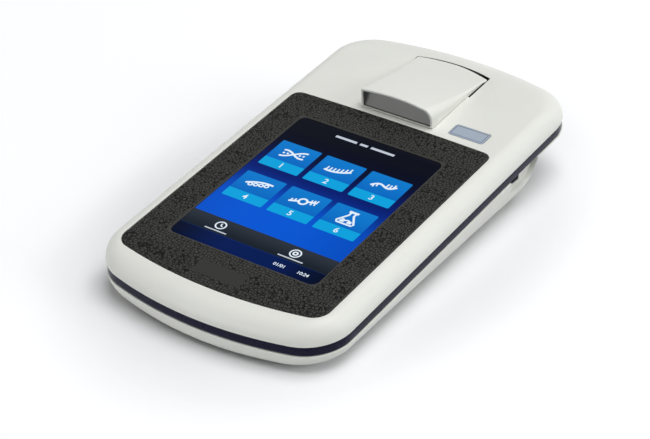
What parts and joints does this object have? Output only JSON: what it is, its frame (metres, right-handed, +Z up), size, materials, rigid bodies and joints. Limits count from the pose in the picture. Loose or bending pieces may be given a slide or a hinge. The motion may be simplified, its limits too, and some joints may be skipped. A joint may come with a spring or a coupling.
{
  "type": "benchtop fluorometer",
  "caption": "Low benchtop instrument with a sloping touch screen, a stripe round the case and a hinged lid over a sample tube well, with ports at the side and rear.",
  "frame": {"origin": "on the table, under the middle of the case's bounding box", "axes": "+Z up, +Y to the rear where the lid's hinge is, +X to the right of someone facing the screen"},
  "size_m": [0.1388, 0.2536, 0.0522],
  "materials": {
    "white_plastic": "fine-grained moulded plastic, satin",
    "navy_trim": "satin to gloss moulded plastic",
    "dark_panel": "moulded with a fine texture",
    "glass": "clear, glossy",
    "display": "lit colour panel",
    "steel": "bright sheet and turned steel",
    "badge": "satin anodised plate",
    "black_plastic": "matt, light absorbing",
    "circuit_board": "solder mask over glass laminate",
    "rubber": "soft, matt",
    "blue_filter": "coated glass",
    "red_filter": "coated glass",
    "green_filter": "coated glass",
    "led_lens": "clear moulded lens",
    "ribbon": "flat flexible ribbon"
  },
  "bodies": {
    "case": {"upper_housing": "white_plastic", "belt_trim": "navy_trim", "badge_plate": "badge", "bezel_panel": "dark_panel", "touch_glass": "glass", "lcd_panel": "display", "backlight": "steel", "display_frame": "steel", "display_screw_1": "steel", "display_screw_2": "steel", "display_screw_3": "steel", "display_screw_4": "steel", "lid_sensor": "circuit_board", "hinge_pin": "steel", "lower_housing": "white_plastic", "tube_well": "black_plastic", "optical_block": "black_plastic", "blue_excitation_filter": "blue_filter", "blue_led": "led_lens", "blue_led_board": "circuit_board", "red_excitation_filter": "red_filter", "red_led": "led_lens", "red_led_board": "circuit_board", "green_emission_filter": "green_filter", "green_photodiode": "steel", "green_detector_board": "circuit_board", "far_red_emission_filter": "red_filter", "far_red_photodiode": "steel", "far_red_detector_board": "circuit_board", "optics_screw_1": "steel", "optics_screw_2": "steel", "main_board": "circuit_board", "board_screw_1": "steel", "board_screw_2": "steel", "board_screw_3": "steel", "board_screw_4": "steel", "processor_chip": "black_plastic", "coin_cell_holder": "black_plastic", "coin_cell": "steel", "buzzer": "black_plastic", "usb_a_socket": "steel", "io_board": "circuit_board", "io_screw": "steel", "dc_inlet": "black_plastic", "mini_usb_socket": "steel", "display_cable": "ribbon", "optics_cable": "ribbon", "case_screw_1": "steel", "case_screw_2": "steel", "case_screw_3": "steel", "case_screw_4": "steel", "rubber_foot_1": "rubber", "rubber_foot_2": "rubber", "rubber_foot_3": "rubber", "rubber_foot_4": "rubber"},
    "lid": {"lid_shell": "white_plastic", "lid_liner": "black_plastic", "lid_seal": "rubber", "lid_magnet": "steel"}
  },
  "joints": [
    {"name": "lid_hinge", "type": "hinge", "parent": "case", "child": "lid", "pos_m": [0, 0.10047, 0.04049], "axis": [-1, 0, 0], "range_deg": [0, 95]}
  ]
}
